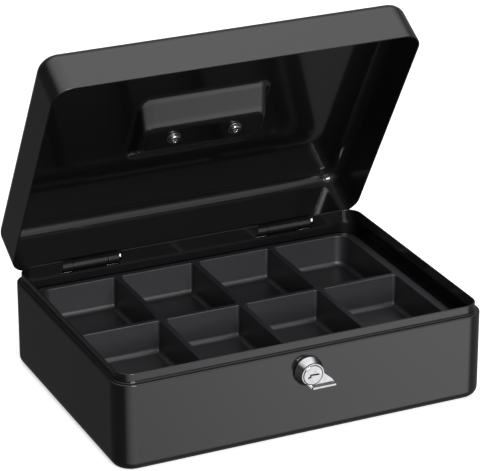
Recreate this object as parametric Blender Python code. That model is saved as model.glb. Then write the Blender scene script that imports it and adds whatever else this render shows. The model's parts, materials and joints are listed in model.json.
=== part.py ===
"""Steel cash box: a deep-drawn case and lid on two barrel hinges, a cam lock in front, a folding
handle in a pressed pocket on top, and a plastic coin tray that lifts out.

Metres, +Z up, +X to the right for someone facing the lock. The origin is the middle of the case's
flat underside. The lid and what it carries are drawn shut and turned about the hinge axis by
LID_OPEN, through the empty that they are parented to.
"""

from math import cos, hypot, pi, radians, sin, tan

import bmesh
import bpy
from mathutils import Vector

# Fit between pieces that touch
GAP = 0.0003

# Case and lid, outside
WIDTH = 0.250
DEPTH = 0.180
SHEET = 0.001
CORNER = 0.0133
SHOULDER = 0.058
BOTTOM_RADIUS = 0.0062
SHOULDER_RADIUS = 0.0007
COLLAR_INSET = 0.00304
COLLAR_TOP = 0.0641
COLLAR_FILLET = 0.0005
COLLAR_EDGE = 0.00035
LID_EDGE = SHOULDER + GAP
LID_HEIGHT = 0.0324
LID_RADIUS = 0.009
LID_OPEN = radians(59.7)

# Hinges: two alike, at +X and -X
HINGE_Y = DEPTH / 2 + 0.0015
HINGE_Z = SHOULDER - 0.0008
HINGE_X = 0.070
HINGE_HALF = 0.020
KNUCKLE_HALF = 0.012
KNUCKLE_GAP = 0.00015
BARREL_RADIUS = 0.0039
BARREL_BORE = 0.0024
PIN_RADIUS = BARREL_BORE - GAP
LEAF_THICK = 0.001
LEAF_INNER_Y = DEPTH / 2 + GAP
CASE_LEAF_LOW = 0.040
LID_LEAF_HIGH = 0.072
LEAF_CLEAR = 0.00035
EAR_OUT = 0.0016
EAR_IN = 0.0002
CASE_EAR_TOP = HINGE_Z + 0.0003
LID_EAR_LOW = HINGE_Z + 0.0013
NOTCH_SIDE_GAP = 0.0004
NOTCH_LOW = HINGE_Z - BARREL_RADIUS - 0.00005
LID_NOTCH_TOP = HINGE_Z + BARREL_RADIUS + 0.0004
SLIT_RUN = 0.0032
SLIT_RISE = 0.00425
SLIT_WIDE = 0.0006

# Handle pocket in the lid, as (half x, half y, corner radius, height above the lid's edge)
POCKET_Y = 0.001
POCKET_MOUTH = (0.044, 0.0292, 0.0072, LID_HEIGHT)
POCKET_FLOOR = (0.042, 0.0102, 0.0052, 0.0204)
BUMP_FOOT = (0.045, 0.0295, 0.0080, LID_HEIGHT - SHEET)
BUMP_TOP = (0.043, 0.0105, 0.0060, 0.0194)
MOUTH_FOLD = 0.0014
FLOOR_FOLD = 0.0022
MOUTH_SHARE = 0.09
FLOOR_SHARE = 0.13

# Handle
PIVOT_Y = 0.0085
PIVOT_Z = LID_EDGE + 0.0245
BAIL_RADIUS = 0.002
BAIL_HALF = 0.034
BAIL_END = 0.014
BAIL_REACH_Y = -0.0285
BAIL_REACH_Z = 0.0057
BAIL_END_BEND = 0.0035
BAIL_GRIP_BEND = 0.009
LUG_RADIUS = 0.0035
LUG_BORE = BAIL_RADIUS + GAP
LUG_START = 0.016
LUG_END = 0.030
PLATE_HALF = 0.031
PLATE_FRONT = -0.007
PLATE_REAR = 0.006
PLATE_LOW = LID_EDGE + POCKET_FLOOR[3] + GAP
PLATE_THICK = 0.0012

# Handle rivets
RIVET_X = 0.0214
RIVET_Y = -0.0005
RIVET_SHANK = 0.0024
RIVET_HOLE = RIVET_SHANK + GAP
RIVET_HEAD = 0.0042
RIVET_HEAD_THICK = 0.0013
WASHER_RADIUS = 0.0048
WASHER_THICK = 0.0008
FLARE_RADIUS = 0.0039
FLARE_THICK = 0.0018
FLARE_HOLLOW = 0.0015

# Lock: its axis runs along Y at LOCK_Z
LOCK_Z = 0.0445
FRONT = -DEPTH / 2
HOUSING_FACE = FRONT - 0.006
HOUSING_REAR = FRONT + 0.0042
HOUSING_FACE_RADIUS = 0.0073
HOUSING_SKIRT_RADIUS = 0.0096
HOUSING_BARREL = 0.0076
LOCK_HOLE = HOUSING_BARREL + GAP
HOUSING_BORE = 0.0067
HOUSING_REAR_BORE = 0.0056
PLUG_FACE = FRONT - 0.0077
PLUG_STEP = FRONT - 0.0045
PLUG_REAR = FRONT + 0.0045
PLUG_TAIL_END = FRONT + 0.0061
PLUG_TAIL = 0.003
KEYWAY_DEPTH = 0.004
NUT_FRONT = FRONT + SHEET + GAP
NUT_THICK = 0.0025
NUT_FLATS = 0.0098
LEVER_FRONT = FRONT - 0.0074
LEVER_REAR = HOUSING_FACE - GAP
LEVER_RING = 0.0074
LEVER_LIP = 0.002
LEVER_LIP_THICK = 0.0012
CAM_FRONT = FRONT + 0.0048
CAM_REAR = FRONT + 0.0061
CAM_HUB = 0.0055
CAM_HALF = 0.004
CAM_REACH = 0.0245
CAM_HOOK_LONG = 0.003
CAM_HOOK_TIP = 0.010
SCREW_HEAD = 0.0042
SCREW_THICK = 0.0022

# Strike on the lid, that the cam's hook holds when locked
STRIKE_X = (0.0044, 0.013)
STRIKE_Z = (0.0647, 0.074)
STRIKE_Y = (FRONT + SHEET + GAP, FRONT + 0.007)
STRIKE_THICK = 0.001

# Coin tray
TRAY_TOP = 0.0492
TRAY_BOTTOM = 0.0265
TRAY_HALF_X = 0.1105
TRAY_Y = (-0.0657, 0.079)
TRAY_WALL = 0.0018
TRAY_DRAFT = 0.0006
TRAY_CORNER = 0.008
TRAY_FLANGE = 0.0016
FLANGE_SIDE = 0.006
FLANGE_ENDS = 0.0044
POCKET_CORNER = 0.0023
POCKET_DEPTH_Z = 0.028
POCKET_FILLET = 0.0033
RIM_RADIUS = 0.0005
ROW_WALL = (0.005, 0.0086)
COLUMN_WALLS = (-0.0554, 0.0, 0.0554)
COLUMN_WALL_HALF = 0.0019

# Ledges that the tray's flange sits on
REST_LOW = 0.035
REST_Y = (-0.062, 0.076)
REST_INNER = 0.1135
REST_THICK = 0.001

# Roundness of curved faces
CORNER_STEPS = 6
POCKET_STEPS = 4
TURN_SIDES = 24
SMALL_TURN_SIDES = 16
BARREL_SIDES = 20
WIRE_SIDES_LEVEL = 2


# ---------------------------------------------------------------- shape helpers

def ring(half_x, half_y, corner, z, centre_x=0.0, centre_y=0.0, steps=CORNER_STEPS):
    """A level rounded rectangle, anticlockwise; corner is one radius or four."""
    radii = corner if isinstance(corner, tuple) else (corner,) * 4
    points = []
    signs = ((1, 1), (-1, 1), (-1, -1), (1, -1))
    for quarter, (radius, (side_x, side_y)) in enumerate(zip(radii, signs)):
        for step in range(steps + 1):
            angle = (quarter + step / steps) * pi / 2
            x = centre_x + side_x * (half_x - radius) + radius * cos(angle)
            y = centre_y + side_y * (half_y - radius) + radius * sin(angle)
            points.append((x, y, z))
    return points


def arc(centre, radius, start, end, steps=4):
    """Points of a circular arc, from the start to the end angle in degrees."""
    angles = [radians(start + (end - start) * step / steps) for step in range(steps + 1)]
    return [(centre[0] + radius * cos(a), centre[1] + radius * sin(a)) for a in angles]


def fold(start, corner, end, steps=4):
    """A bend from start to end that leaves and arrives along the lines through corner."""
    places = []
    for step in range(steps + 1):
        t = step / steps
        places.append(start * (1 - t) ** 2 + corner * 2 * t * (1 - t) + end * t * t)
    return places


def rounded(corners, closed=True, steps=4):
    """A polyline through corners (a, b, radius), each corner rounded by its radius."""
    count = len(corners)
    points = []
    for index, (a, b, radius) in enumerate(corners):
        here = Vector((a, b))
        is_end = not closed and index in (0, count - 1)
        if radius == 0 or is_end:
            points.append((a, b))
            continue
        before = (Vector(corners[index - 1][:2]) - here).normalized()
        after = (Vector(corners[(index + 1) % count][:2]) - here).normalized()
        half_angle = before.angle(after) / 2
        centre = here + (before + after).normalized() * (radius / sin(half_angle))
        start = here + before * (radius / tan(half_angle)) - centre
        turn = start.angle_signed(here + after * (radius / tan(half_angle)) - centre)
        for step in range(steps + 1):
            angle = -turn * step / steps
            points.append((centre.x + start.x * cos(angle) - start.y * sin(angle),
                           centre.y + start.x * sin(angle) + start.y * cos(angle)))
    return points


def mesh_object(name, bodies):
    """An object from a list of closed bodies, each (vertices, faces), with smooth curved faces."""
    vertices, faces = [], []
    for body_vertices, body_faces in bodies:
        offset = len(vertices)
        vertices += body_vertices
        faces += [[index + offset for index in face] for face in body_faces]
    mesh = bpy.data.meshes.new(name)
    mesh.from_pydata(vertices, [], faces)
    shape = bmesh.new()
    shape.from_mesh(mesh)
    bmesh.ops.recalc_face_normals(shape, faces=shape.faces)
    shape.to_mesh(mesh)
    shape.free()
    mesh.shade_smooth()
    mesh.set_sharp_from_angle(angle=radians(32))
    made = bpy.data.objects.new(name, mesh)
    bpy.context.scene.collection.objects.link(made)
    return made


def lofted(rings, hollow=False):
    """A closed body through rings of equal length: capped at both ends, or closed on itself."""
    count = len(rings[0])
    vertices = [point for one in rings for point in one]
    last = len(rings) if hollow else len(rings) - 1
    faces = []
    for level in range(last):
        low = level * count
        high = (level + 1) % len(rings) * count
        for index in range(count):
            following = (index + 1) % count
            faces.append((low + index, low + following, high + following, high + index))
    if not hollow:
        faces.append(tuple(range(count)))
        faces.append(tuple(range(last * count, (last + 1) * count)))
    return vertices, faces


def turned(profile, axis, hollow=False, centre=(0.0, 0.0, 0.0), sides=TURN_SIDES):
    """A body turned about the X, Y or Z axis through centre; profile is (radius, place along)."""
    order = {"X": (2, 0, 1), "Y": (1, 2, 0), "Z": (0, 1, 2)}[axis]
    rings = []
    for radius, along in profile:
        level = []
        for side in range(sides):
            angle = 2 * pi * side / sides
            flat = (radius * cos(angle), radius * sin(angle), along)
            level.append(tuple(flat[order[i]] + centre[i] for i in range(3)))
        rings.append(level)
    return lofted(rings, hollow)


def extruded(outline, low, high, axis):
    """A body with a flat outline (a, b), drawn out along the axis from low to high."""
    place = {"X": lambda a, b, c: (c, a, b),
             "Y": lambda a, b, c: (a, c, b),
             "Z": lambda a, b, c: (a, b, c)}[axis]
    return lofted([[place(a, b, level) for a, b in outline] for level in (low, high)])


def block(x, y, z):
    """A plain box from three (low, high) pairs."""
    return extruded([(x[0], y[0]), (x[1], y[0]), (x[1], y[1]), (x[0], y[1])], z[0], z[1], "Z")


def guide(name, bodies):
    """An object that only shapes another one."""
    made = mesh_object(name, bodies)
    made.display_type = "WIRE"
    made.hide_render = True
    return made


def shaped_by(target, tool, operation):
    """Cut or join the tool's bodies with the target, exactly."""
    tool.location = target.location
    tool.parent = target.parent
    step = target.modifiers.new(tool.name, "BOOLEAN")
    step.operation = operation
    step.solver = "EXACT"
    step.object = tool


def material(name, colour, roughness, metallic=0.0):
    made = bpy.data.materials.new(name)
    made.use_nodes = True
    surface = made.node_tree.nodes["Principled BSDF"]
    surface.inputs["Base Color"].default_value = (*colour, 1.0)
    surface.inputs["Roughness"].default_value = roughness
    surface.inputs["Metallic"].default_value = metallic
    return made


def finish(target, surface, parent=None, location=(0.0, 0.0, 0.0)):
    """Give a piece its material and place."""
    target.data.materials.append(surface)
    target.location = location
    if parent:
        target.parent = parent
    return target


def empty(name, location, parent=None):
    made = bpy.data.objects.new(name, None)
    bpy.context.scene.collection.objects.link(made)
    made.location = location
    made.parent = parent
    return made


# ---------------------------------------------------------------- case

def case_profile():
    """(inset, height) up the outside, over the collar and down the inside to the floor."""
    bottom = (BOTTOM_RADIUS, BOTTOM_RADIUS)
    collar_inner = COLLAR_INSET + SHEET
    fillet = (COLLAR_INSET - COLLAR_FILLET, SHOULDER + COLLAR_FILLET)
    rim_z = COLLAR_TOP - COLLAR_EDGE
    profile = arc(bottom, BOTTOM_RADIUS, 270, 180, 5)
    profile += arc((SHOULDER_RADIUS, SHOULDER - SHOULDER_RADIUS), SHOULDER_RADIUS, 180, 90, 3)
    profile += arc(fillet, COLLAR_FILLET, 270, 360, 3)
    profile += arc((COLLAR_INSET + COLLAR_EDGE, rim_z), COLLAR_EDGE, 180, 90, 2)
    profile += arc((collar_inner - COLLAR_EDGE, rim_z), COLLAR_EDGE, 90, 0, 2)
    profile += [(collar_inner, SHOULDER - SHEET), (SHEET, SHOULDER - SHEET)]
    profile += arc(bottom, BOTTOM_RADIUS - SHEET, 180, 270, 5)
    return profile


def outline_rings(profile, base=0.0):
    """Rings that follow the box's outline, inset and raised as the profile says."""
    return [ring(WIDTH / 2 - inset, DEPTH / 2 - inset, CORNER - inset, base + height)
            for inset, height in profile]


def hinge_sides():
    return (("left", -1), ("right", 1))


def build_case(paint):
    shell = mesh_object("case_shell", [lofted(outline_rings(case_profile()))])
    cuts = []
    for _, side in hinge_sides():
        ends = sorted(side * (HINGE_X + reach * (HINGE_HALF + NOTCH_SIDE_GAP)) for reach in (-1, 1))
        rear = (DEPTH / 2 - COLLAR_INSET - 2 * SHEET, DEPTH / 2 + SHEET)
        cuts.append(block(ends, rear, (NOTCH_LOW, COLLAR_TOP + SHEET)))
    hole = [(LOCK_HOLE, FRONT - SHEET), (LOCK_HOLE, FRONT + 2 * SHEET)]
    cuts.append(turned(hole, "Y", centre=(0.0, 0.0, LOCK_Z)))
    shaped_by(shell, guide("case_cuts", cuts), "DIFFERENCE")
    finish(shell, paint)


def build_tray_rests(steel):
    wall = WIDTH / 2 - SHEET - GAP
    top = TRAY_TOP - TRAY_FLANGE - GAP
    for name, side in hinge_sides():
        outline = [(wall, REST_LOW), (wall, top), (REST_INNER, top), (REST_INNER, top - REST_THICK),
                   (wall - REST_THICK, top - REST_THICK), (wall - REST_THICK, REST_LOW)]
        outline = [(side * x, z) for x, z in outline]
        finish(mesh_object("tray_rest_" + name, [extruded(outline, *REST_Y, "Y")]), steel)


# ---------------------------------------------------------------- hinges

def knuckle(low, high):
    """One barrel section on the hinge axis, between two places along X, ends slightly broken."""
    broken = 0.0003
    profile = [(BARREL_BORE, low), (BARREL_RADIUS - broken, low), (BARREL_RADIUS, low + broken),
               (BARREL_RADIUS, high - broken), (BARREL_RADIUS - broken, high), (BARREL_BORE, high)]
    return turned(profile, "X", hollow=True, centre=(0.0, HINGE_Y, HINGE_Z), sides=BARREL_SIDES)


def leaf(outline):
    return extruded(outline, LEAF_INNER_Y, LEAF_INNER_Y + LEAF_THICK, "Y")


def build_hinge(name, side, lid_pivot, lid_place, paint, steel):
    centre = side * HINGE_X
    near, far = centre - HINGE_HALF, centre + HINGE_HALF
    low, high = centre - KNUCKLE_HALF, centre + KNUCKLE_HALF
    seat = 0.5 * (BARREL_RADIUS + BARREL_BORE)
    leaf_top = HINGE_Z - BARREL_RADIUS - LEAF_CLEAR
    left, right = near - EAR_OUT, far + EAR_OUT
    case_outline = [(left, CASE_LEAF_LOW), (right, CASE_LEAF_LOW), (right, CASE_EAR_TOP),
                    (far + EAR_IN, CASE_EAR_TOP), (far + EAR_IN, leaf_top),
                    (high, leaf_top), (high, HINGE_Z - seat), (low, HINGE_Z - seat),
                    (low, leaf_top), (near - EAR_IN, leaf_top),
                    (near - EAR_IN, CASE_EAR_TOP), (left, CASE_EAR_TOP)]
    case_leaf = mesh_object("hinge_case_" + name, [leaf(case_outline)])
    shaped_by(case_leaf, guide("case_knuckle_" + name, [knuckle(low, high)]), "UNION")
    finish(case_leaf, paint)

    inner, outer = low - KNUCKLE_GAP, high + KNUCKLE_GAP
    leaf_low = LID_NOTCH_TOP
    lid_outline = [(left, LID_EAR_LOW), (near - EAR_IN, LID_EAR_LOW),
                   (near - EAR_IN, HINGE_Z + seat), (inner, HINGE_Z + seat), (inner, leaf_low),
                   (outer, leaf_low), (outer, HINGE_Z + seat), (far + EAR_IN, HINGE_Z + seat),
                   (far + EAR_IN, LID_EAR_LOW), (right, LID_EAR_LOW),
                   (right, LID_LEAF_HIGH), (left, LID_LEAF_HIGH)]
    lid_leaf = finish(mesh_object("hinge_lid_" + name, [leaf(lid_outline)]), paint,
                      lid_pivot, lid_place)
    ends = [knuckle(near, inner), knuckle(outer, far)]
    shaped_by(lid_leaf, guide("lid_knuckles_" + name, ends), "UNION")

    pin_profile = [(PIN_RADIUS - GAP, near), (PIN_RADIUS, near + GAP),
                   (PIN_RADIUS, far - GAP), (PIN_RADIUS - GAP, far)]
    body = turned(pin_profile, "X", sides=SMALL_TURN_SIDES)
    pin = mesh_object("hinge_pin_" + name, [body])
    finish(pin, steel, location=(0.0, HINGE_Y, HINGE_Z))


# ---------------------------------------------------------------- lid

def pocket_rings(mouth, floor):
    """Rings from the panel down into the pressed pocket, both folds rounded."""
    mouth, floor = Vector(mouth), Vector(floor)
    slope = floor - mouth
    wide = mouth + Vector((MOUTH_FOLD, MOUTH_FOLD, MOUTH_FOLD, 0))
    narrow = floor - Vector((FLOOR_FOLD, FLOOR_FOLD, FLOOR_FOLD, 0))
    stations = fold(wide, mouth, mouth + slope * MOUTH_SHARE)
    stations += fold(floor - slope * FLOOR_SHARE, floor, narrow)
    return [ring(half_x, half_y, corner, LID_EDGE + z, centre_y=POCKET_Y)
            for half_x, half_y, corner, z in stations]


def lid_notch(side):
    """Outline of the cut in the rear wall round one hinge, with its slanted relief slit."""
    near = side * HINGE_X - HINGE_HALF - NOTCH_SIDE_GAP
    far = side * HINGE_X + HINGE_HALF + NOTCH_SIDE_GAP
    low = LID_EDGE - SHEET
    return [(near, low), (far, low), (far, LID_NOTCH_TOP), (near + SLIT_WIDE, LID_NOTCH_TOP),
            (near - SLIT_RUN + SLIT_WIDE, LID_EDGE + SLIT_RISE),
            (near - SLIT_RUN, LID_EDGE + SLIT_RISE), (near, LID_NOTCH_TOP - SLIT_WIDE)]


def build_lid(paint, pivot, place):
    shoulder = LID_HEIGHT - LID_RADIUS
    inner = [(SHEET, 0.0)] + arc((LID_RADIUS, shoulder), LID_RADIUS - SHEET, 180, 90, 6)
    outer = [(0.0, 0.0)] + arc((LID_RADIUS, shoulder), LID_RADIUS, 180, 90, 6)
    rings = pocket_rings(BUMP_FOOT, BUMP_TOP)[::-1]
    rings += outline_rings(inner[::-1], LID_EDGE)
    rings += outline_rings(outer, LID_EDGE)
    rings += pocket_rings(POCKET_MOUTH, POCKET_FLOOR)
    shell = mesh_object("lid_shell", [lofted(rings)])
    finish(shell, paint, pivot, place)
    cuts = [extruded(lid_notch(side), DEPTH / 2 - 2 * SHEET, DEPTH / 2 + SHEET, "Y")
            for _, side in hinge_sides()]
    floor = LID_EDGE + POCKET_FLOOR[3]
    hole = [(RIVET_HOLE, floor - 2 * SHEET), (RIVET_HOLE, floor + SHEET)]
    for _, side in hinge_sides():
        cuts.append(turned(hole, "Z", centre=(side * RIVET_X, RIVET_Y, 0.0)))
    shaped_by(shell, guide("lid_cuts", cuts), "DIFFERENCE")


def build_strike(steel, pivot, place):
    y, z = STRIKE_Y, STRIKE_Z
    outline = rounded([(y[0], z[0], 0.0012), (y[1], z[0], 0), (y[1], z[0] + STRIKE_THICK, 0),
                       (y[0] + STRIKE_THICK, z[0] + STRIKE_THICK, 0),
                       (y[0] + STRIKE_THICK, z[1], 0), (y[0], z[1], 0)])
    finish(mesh_object("lid_strike", [extruded(outline, *STRIKE_X, "X")]), steel, pivot, place)


# ---------------------------------------------------------------- handle

def build_handle_bracket(steel, pivot, place):
    """Base plate with two rolled lugs that hold the bail's ends."""
    lugs, outline = [], [(-PLATE_HALF, PLATE_FRONT, 0.003), (PLATE_HALF, PLATE_FRONT, 0.003),
                         (PLATE_HALF, PLATE_REAR, 0.001)]
    for _, side in reversed(hinge_sides()):
        low, high = sorted((side * LUG_START, side * LUG_END))
        outline += [(high, PLATE_REAR, 0), (high, PIVOT_Y, 0), (low, PIVOT_Y, 0),
                    (low, PLATE_REAR, 0)]
        profile = [(LUG_BORE, low), (LUG_RADIUS, low), (LUG_RADIUS, high), (LUG_BORE, high)]
        lugs.append(turned(profile, "X", hollow=True, centre=(0.0, PIVOT_Y, PIVOT_Z)))
    outline.append((-PLATE_HALF, PLATE_REAR, 0.001))
    plate = extruded(rounded(outline), PLATE_LOW, PLATE_LOW + PLATE_THICK, "Z")
    bracket = finish(mesh_object("handle_bracket", [plate]), steel, pivot, place)
    shaped_by(bracket, guide("handle_lugs", lugs), "UNION")
    hole = [(RIVET_HOLE, PLATE_LOW - SHEET), (RIVET_HOLE, PLATE_LOW + 2 * SHEET)]
    holes = [turned(hole, "Z", centre=(side * RIVET_X, RIVET_Y, 0.0)) for _, side in hinge_sides()]
    shaped_by(bracket, guide("bracket_holes", holes), "DIFFERENCE")


def build_rivet(name, side, steel, pivot, place):
    """A tubular rivet, its flared end on a washer inside the lid."""
    head_low = PLATE_LOW + PLATE_THICK + GAP
    washer_top = LID_EDGE + BUMP_TOP[3] - GAP
    washer_low = washer_top - WASHER_THICK
    flare_top = washer_low - GAP
    flare_low = flare_top - FLARE_THICK
    edge = 0.0005
    profile = [(0.0, flare_top + SHEET), (FLARE_HOLLOW, flare_top), (FLARE_HOLLOW, flare_low + edge),
               (FLARE_HOLLOW + edge, flare_low), (FLARE_RADIUS - edge, flare_low)]
    profile += arc((FLARE_RADIUS - edge, flare_low + edge), edge, 270, 360, 2)[1:]
    profile += [(FLARE_RADIUS - edge, flare_top), (RIVET_SHANK, flare_top), (RIVET_SHANK, head_low),
                (RIVET_HEAD, head_low), (RIVET_HEAD, head_low + edge)]
    profile += arc((RIVET_HEAD - 2 * edge, head_low + edge), 2 * edge, 0, 90, 3)[1:]
    profile.append((0.0, head_low + 3 * edge))
    near_axis = 0.0001
    profile = [(max(radius, near_axis), z) for radius, z in profile]
    centre = (side * RIVET_X, RIVET_Y, 0.0)
    body = turned(profile, "Z", centre=centre, sides=SMALL_TURN_SIDES)
    rivet = mesh_object("handle_rivet_" + name, [body])
    finish(rivet, steel, pivot, place)
    washer = [(RIVET_HOLE, washer_low), (WASHER_RADIUS, washer_low),
              (WASHER_RADIUS, washer_top), (RIVET_HOLE, washer_top)]
    body = turned(washer, "Z", hollow=True, centre=centre, sides=SMALL_TURN_SIDES)
    washer = mesh_object("handle_washer_" + name, [body])
    finish(washer, steel, pivot, place)


def build_bail(chrome, handle_pivot):
    """The folding handle: one bent wire, lying flat in the pocket, its ends in the lugs."""
    reach = hypot(BAIL_REACH_Y, BAIL_REACH_Z)
    half = rounded([(BAIL_END, 0, 0), (BAIL_HALF, 0, BAIL_END_BEND),
                    (BAIL_HALF, reach, BAIL_GRIP_BEND), (0, reach, 0)], closed=False, steps=7)
    route = half + [(-x, along) for x, along in reversed(half[:-1])]
    wire = bpy.data.curves.new("handle_bail", "CURVE")
    wire.dimensions = "3D"
    wire.bevel_depth = BAIL_RADIUS
    wire.bevel_resolution = WIRE_SIDES_LEVEL
    wire.use_fill_caps = True
    spline = wire.splines.new("POLY")
    spline.points.add(len(route) - 1)
    for point, (x, along) in zip(spline.points, route):
        share = along / reach
        point.co = (x, share * BAIL_REACH_Y, share * BAIL_REACH_Z, 1.0)
    bail = bpy.data.objects.new("handle_bail", wire)
    bpy.context.scene.collection.objects.link(bail)
    finish(bail, chrome, handle_pivot)


# ---------------------------------------------------------------- lock

def build_lock_housing(chrome, place):
    edge = 0.0004
    skirt = FRONT - GAP
    profile = [(HOUSING_REAR_BORE, HOUSING_REAR), (HOUSING_REAR_BORE, PLUG_STEP + GAP),
               (HOUSING_BORE, PLUG_STEP + GAP), (HOUSING_BORE, HOUSING_FACE),
               (HOUSING_FACE_RADIUS - edge, HOUSING_FACE), (HOUSING_FACE_RADIUS, HOUSING_FACE + edge),
               (HOUSING_SKIRT_RADIUS, skirt - 2 * edge), (HOUSING_SKIRT_RADIUS, skirt),
               (HOUSING_BARREL, skirt), (HOUSING_BARREL, HOUSING_REAR)]
    housing = mesh_object("lock_housing", [turned(profile, "Y", hollow=True)])
    finish(housing, chrome, location=place)


def build_lock_nut(steel, place):
    flats, bore = [], []
    for side in range(TURN_SIDES):
        angle = 2 * pi * side / TURN_SIDES
        flat_turn = (angle + pi / 6) % (pi / 3) - pi / 6
        reach = NUT_FLATS / cos(flat_turn)
        flats.append((reach * cos(angle), reach * sin(angle)))
        bore.append((LOCK_HOLE * cos(angle), LOCK_HOLE * sin(angle)))
    ends = (NUT_FRONT, NUT_FRONT + NUT_THICK)
    rings = [[(a, y, b) for a, b in outline]
             for outline, y in ((bore, ends[0]), (flats, ends[0]), (flats, ends[1]), (bore, ends[1]))]
    finish(mesh_object("lock_nut", [lofted(rings, hollow=True)]), steel, location=place)


def build_plug(chrome, place):
    edge = 0.0004
    disc = HOUSING_BORE - GAP
    shaft = HOUSING_REAR_BORE - GAP
    profile = [(disc - edge, PLUG_FACE), (disc, PLUG_FACE + edge), (disc, PLUG_STEP),
               (shaft, PLUG_STEP), (shaft, PLUG_REAR - GAP), (PLUG_TAIL, PLUG_REAR - GAP),
               (PLUG_TAIL, PLUG_TAIL_END)]
    plug = mesh_object("lock_plug", [turned(profile, "Y")])
    keyway = [(-0.0035, -0.0020), (-0.0012, -0.0014), (-0.0012, -0.0002), (0.0041, -0.0005),
              (0.0041, 0.0006), (-0.0022, 0.0009), (-0.0022, -0.0004), (-0.0035, -0.0009)]
    cut = extruded(keyway, PLUG_FACE - SHEET, PLUG_FACE + KEYWAY_DEPTH, "Y")
    finish(plug, chrome, location=place)
    shaped_by(plug, guide("keyway", [cut]), "DIFFERENCE")


def build_lever(chrome, place):
    """Turning lever: a ring round the plug and a flag with a lip for the thumb."""
    ring_part = arc((0.0, 0.0), LEVER_RING, 0, 190, 16)
    flag = rounded([(-0.0012, -0.0089, 0.0012), (0.0152, -0.0089, 0.0008), (0.0130, -0.0049, 0.003),
                    (0.0092, -0.0016, 0.0015)], closed=False)
    plate = mesh_object("lock_lever", [extruded(ring_part + flag, LEVER_FRONT, LEVER_REAR, "Y")])
    finish(plate, chrome, location=place)
    lip = rounded([(-0.0008, -0.0089, 0.0005), (0.0150, -0.0089, 0.0005),
                   (0.0147, -0.0089 + LEVER_LIP_THICK, 0.0005),
                   (-0.0008, -0.0089 + LEVER_LIP_THICK, 0.0005)])
    lip_body = extruded(lip, LEVER_FRONT - LEVER_LIP, LEVER_FRONT + GAP, "Y")
    shaped_by(plate, guide("lever_lip", [lip_body]), "UNION")
    hole = turned([(HOUSING_BORE, LEVER_FRONT - SHEET), (HOUSING_BORE, LEVER_REAR + SHEET)], "Y")
    shaped_by(plate, guide("lever_hole", [hole]), "DIFFERENCE")


def build_cam(steel, place):
    """Cam bar lying towards -X when unlocked, its hook up; a quarter turn brings it upright."""
    hub = arc((0.0, 0.0), CAM_HUB, -135, 135, 12)
    tip = -CAM_REACH
    bar = [(-0.0055, CAM_HALF), (tip + CAM_HOOK_LONG, CAM_HALF), (tip + CAM_HOOK_LONG, CAM_HOOK_TIP),
           (tip, CAM_HOOK_TIP), (tip, -CAM_HALF), (-0.0055, -CAM_HALF)]
    cam = mesh_object("lock_cam", [extruded(hub + bar, CAM_FRONT, CAM_REAR, "Y")])
    finish(cam, steel, location=place)
    bore = PLUG_TAIL + GAP
    hole = turned([(bore, CAM_FRONT - SHEET), (bore, CAM_REAR + SHEET)], "Y")
    shaped_by(cam, guide("cam_hole", [hole]), "DIFFERENCE")

    low = CAM_REAR + GAP
    edge = 0.0007
    head = [(SCREW_HEAD, low), (SCREW_HEAD, low + SCREW_THICK - edge),
            (SCREW_HEAD - edge, low + SCREW_THICK)]
    screw = mesh_object("cam_screw", [turned(head, "Y")])
    finish(screw, steel, location=place)
    slot_depth = 0.0009
    slot = block((-SCREW_HEAD * 2, SCREW_HEAD * 2),
                 (low + SCREW_THICK - slot_depth, low + SCREW_THICK + SHEET), (-0.0005, 0.0005))
    shaped_by(screw, guide("screw_slot", [slot]), "DIFFERENCE")


# ---------------------------------------------------------------- coin tray

def tray_pocket(x, y, outer_side):
    """One compartment's hollow: flared rim, drafted walls, rounded floor."""
    centre_x, centre_y = sum(x) / 2, sum(y) / 2
    half_x, half_y = (x[1] - x[0]) / 2, (y[1] - y[0]) / 2
    depth = TRAY_TOP - POCKET_DEPTH_Z
    radii = [POCKET_CORNER] * 4
    if outer_side:
        front = y[0] < 0
        index = {(1, False): 0, (-1, False): 1, (-1, True): 2, (1, True): 3}[(outer_side, front)]
        radii[index] = TRAY_CORNER
    profile = [(-RIM_RADIUS, TRAY_TOP + SHEET)]
    profile += arc((-RIM_RADIUS, TRAY_TOP - RIM_RADIUS), RIM_RADIUS, 90, 0, 2)
    fillet_z = POCKET_DEPTH_Z + POCKET_FILLET
    centre = (POCKET_FILLET + TRAY_DRAFT, fillet_z)
    profile += arc(centre, POCKET_FILLET, 180, 270, 4)
    rings = []
    for inset, z in profile:
        corners = tuple(max(radius - inset, 0.0006) for radius in radii)
        rings.append(ring(half_x - inset, half_y - inset, corners, z, centre_x, centre_y,
                          POCKET_STEPS))
    return lofted(rings)


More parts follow.
